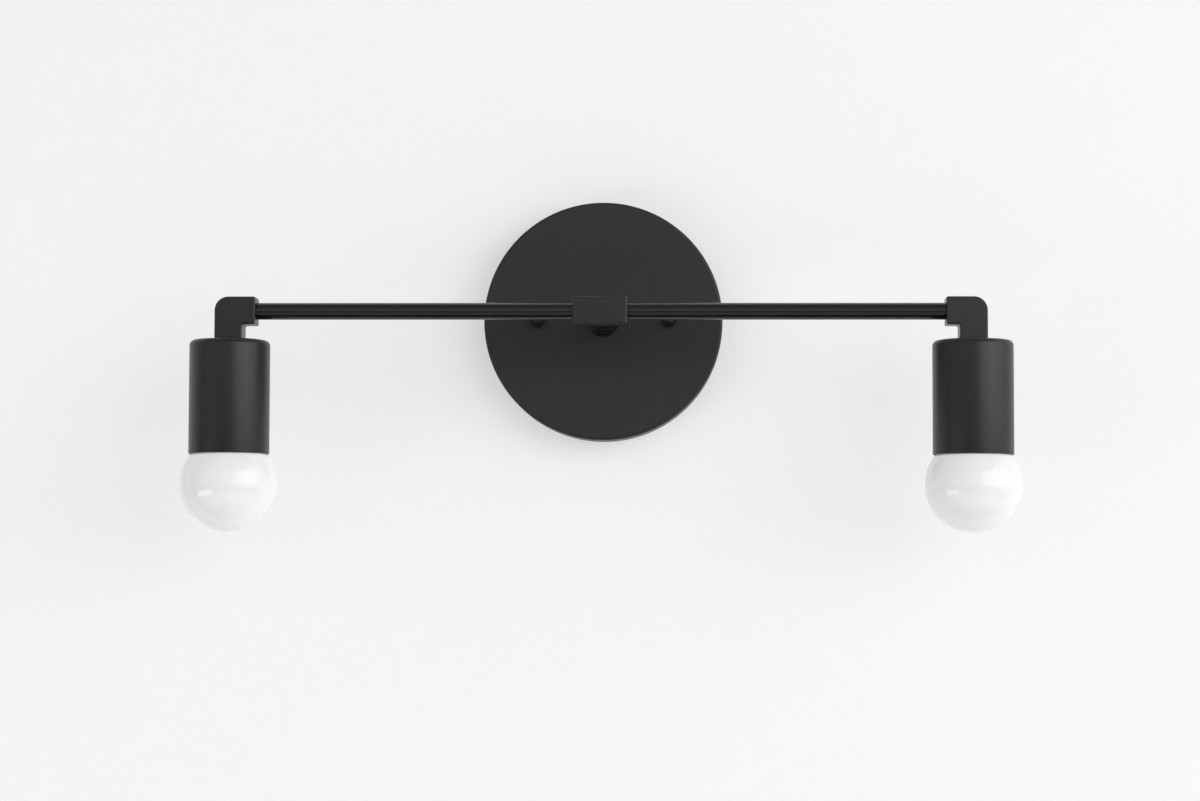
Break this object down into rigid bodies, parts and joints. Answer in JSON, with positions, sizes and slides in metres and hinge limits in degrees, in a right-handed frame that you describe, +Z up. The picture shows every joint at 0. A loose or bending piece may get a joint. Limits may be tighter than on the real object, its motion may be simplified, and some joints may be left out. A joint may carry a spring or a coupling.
{
  "type": "vanity light",
  "caption": "Wall light with a round canopy, a short stem to a square tee, straight tube arms, square elbows and hanging socket cups with screw-in opal globe bulbs.",
  "frame": {"origin": "centre of the mounting strap's slot pattern, on the wall plane", "axes": "+X to the right along the arms, seen from the room; +Y into the wall; +Z up. The front faces -Y."},
  "size_m": [0.4306, 0.1008, 0.1769],
  "materials": {
    "black_coat": "matt powder coat",
    "zinc_steel": "zinc plated",
    "green_screw": "green dyed plating",
    "copper": "bare copper",
    "connector_plastic": "moulded",
    "black_insulation": "smooth insulation",
    "white_insulation": "smooth insulation",
    "porcelain": "glazed porcelain",
    "brass": "bright",
    "solder": "solder",
    "black_glass": "fused black glass",
    "base_metal": "drawn and knurled",
    "opal_glass": "opal white, glossy",
    "clear_glass": "clear",
    "tungsten": "drawn wire"
  },
  "bodies": {
    "fixture": {"canopy": "black_coat", "mounting_strap": "zinc_steel", "stud_jam_nuts": "zinc_steel", "ground_screw": "green_screw", "ground_lead": "copper", "stem": "black_coat", "stem_collar": "black_coat", "stem_lock_washer": "zinc_steel", "stem_lock_nut": "zinc_steel", "tee": "black_coat", "wire_connector_black": "connector_plastic", "wire_connector_white": "connector_plastic", "canopy_stud_left": "zinc_steel", "cap_nut_left": "black_coat", "arm_left": "black_coat", "elbow_left": "black_coat", "lead_black_left": "black_insulation", "lead_white_left": "white_insulation", "socket_nipple_left": "zinc_steel", "socket_cup_left": "black_coat", "cup_lock_washer_left": "zinc_steel", "cup_lock_nut_left": "zinc_steel", "socket_bracket_left": "zinc_steel", "bracket_screws_left": "zinc_steel", "lampholder_left": "porcelain", "terminal_plates_left": "brass", "terminal_screws_left": "brass", "screw_shell_left": "brass", "centre_contact_left": "brass", "canopy_stud_right": "zinc_steel", "cap_nut_right": "black_coat", "arm_right": "black_coat", "elbow_right": "black_coat", "lead_black_right": "black_insulation", "lead_white_right": "white_insulation", "socket_nipple_right": "zinc_steel", "socket_cup_right": "black_coat", "cup_lock_washer_right": "zinc_steel", "cup_lock_nut_right": "zinc_steel", "socket_bracket_right": "zinc_steel", "bracket_screws_right": "zinc_steel", "lampholder_right": "porcelain", "terminal_plates_right": "brass", "terminal_screws_right": "brass", "screw_shell_right": "brass", "centre_contact_right": "brass"},
    "left_bulb_end": {"bulb_tip_left": "solder"},
    "left_bulb": {"bulb_insulator_left": "black_glass", "bulb_base_left": "base_metal", "bulb_globe_left": "opal_glass", "bulb_stem_left": "clear_glass", "bulb_filament_left": "tungsten"},
    "right_bulb_end": {"bulb_tip_right": "solder"},
    "right_bulb": {"bulb_insulator_right": "black_glass", "bulb_base_right": "base_metal", "bulb_globe_right": "opal_glass", "bulb_stem_right": "clear_glass", "bulb_filament_right": "tungsten"}
  },
  "joints": [
    {"name": "left_bulb_travel", "type": "slide", "parent": "fixture", "child": "left_bulb_end", "axis": [0, 0, -1], "range_m": [0, 0.01816]},
    {"name": "left_bulb_turn", "type": "hinge", "parent": "left_bulb_end", "child": "left_bulb", "pos_m": [-0.1905, -0.076, -0.05], "axis": [0, 0, -1], "range_deg": [0, 1800]},
    {"name": "right_bulb_travel", "type": "slide", "parent": "fixture", "child": "right_bulb_end", "axis": [0, 0, -1], "range_m": [0, 0.01816]},
    {"name": "right_bulb_turn", "type": "hinge", "parent": "right_bulb_end", "child": "right_bulb", "pos_m": [0.1905, -0.076, -0.05], "axis": [0, 0, -1], "range_deg": [0, 1800]}
  ],
  "couplings": [
    {"joint": "left_bulb_travel", "follows": "left_bulb_turn", "m_per_rad": 0.00057757},
    {"joint": "right_bulb_travel", "follows": "right_bulb_turn", "m_per_rad": 0.00057757}
  ]
}
